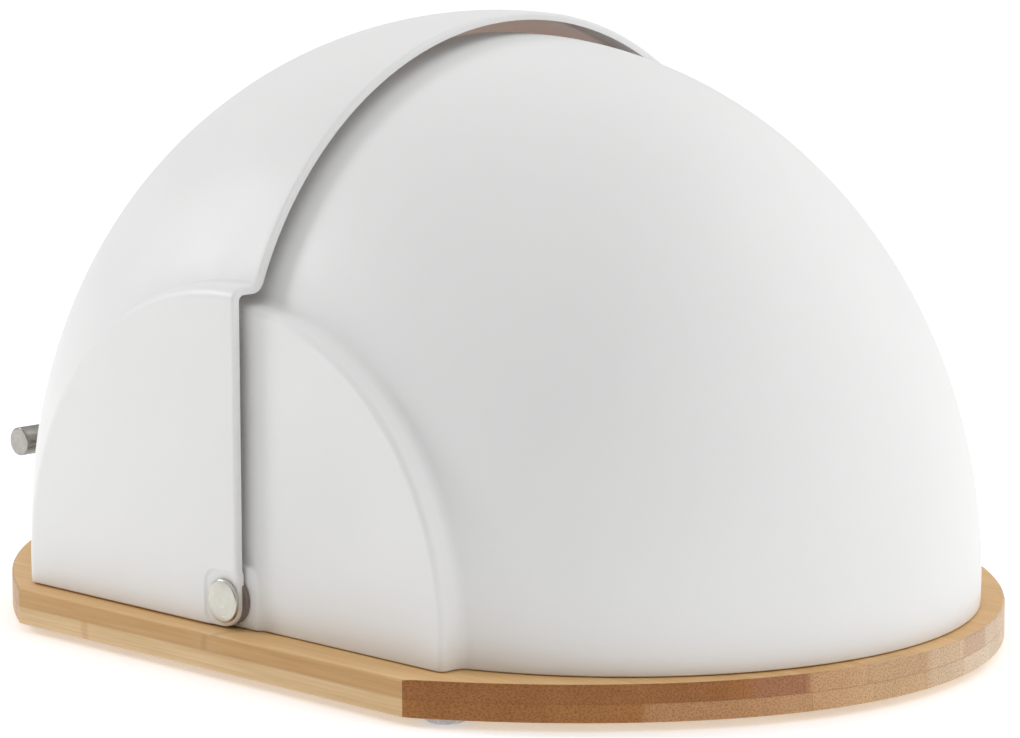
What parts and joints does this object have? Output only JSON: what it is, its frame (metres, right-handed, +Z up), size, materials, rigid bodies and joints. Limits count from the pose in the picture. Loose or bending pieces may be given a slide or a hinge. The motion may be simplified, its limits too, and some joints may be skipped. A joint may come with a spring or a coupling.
{
  "type": "bread box with roll top",
  "caption": "Half-dome steel bread box on a wooden board: a half-dome lid with a bar handle rolls back over the fixed rear shell on two end pivots.",
  "frame": {"origin": "under the middle of the whole box, on the surface that the feet stand on", "axes": "+Z up; +Y towards the fixed rear shell, with the handle at -Y; +X along the lid's hinge axis"},
  "size_m": [0.284, 0.4158, 0.219],
  "materials": {
    "white_paint": "satin white powder coat",
    "bamboo": "oiled bamboo, strips along the depth",
    "brushed_steel": "brushed",
    "bright_steel": "satin bright",
    "dark_nylon": "matte",
    "clear_rubber": "frosted translucent"
  },
  "bodies": {
    "base": {"base_board": "bamboo", "foot_front_left": "clear_rubber", "foot_front_right": "clear_rubber", "foot_back_left": "clear_rubber", "foot_back_right": "clear_rubber", "rear_shell": "white_paint", "shell_screw_1": "bright_steel", "shell_screw_2": "bright_steel", "shell_screw_3": "bright_steel", "shell_screw_4": "bright_steel", "pivot_screw_left": "bright_steel", "pivot_screw_right": "bright_steel", "pivot_bushing_left": "dark_nylon", "pivot_bushing_right": "dark_nylon", "pivot_washer_left": "bright_steel", "pivot_washer_right": "bright_steel", "pivot_nut_left": "bright_steel", "pivot_nut_right": "bright_steel"},
    "roll_top": {"lid": "white_paint", "handle_bar": "brushed_steel", "handle_post_left": "brushed_steel", "handle_post_right": "brushed_steel", "handle_screw_left": "bright_steel", "handle_screw_right": "bright_steel", "handle_washer_left": "bright_steel", "handle_washer_right": "bright_steel"}
  },
  "joints": [
    {"name": "lid_roll", "type": "hinge", "parent": "base", "child": "roll_top", "pos_m": [0, 0.01549, 0.026], "axis": [-1, 0, 0], "range_deg": [0, 90]}
  ]
}
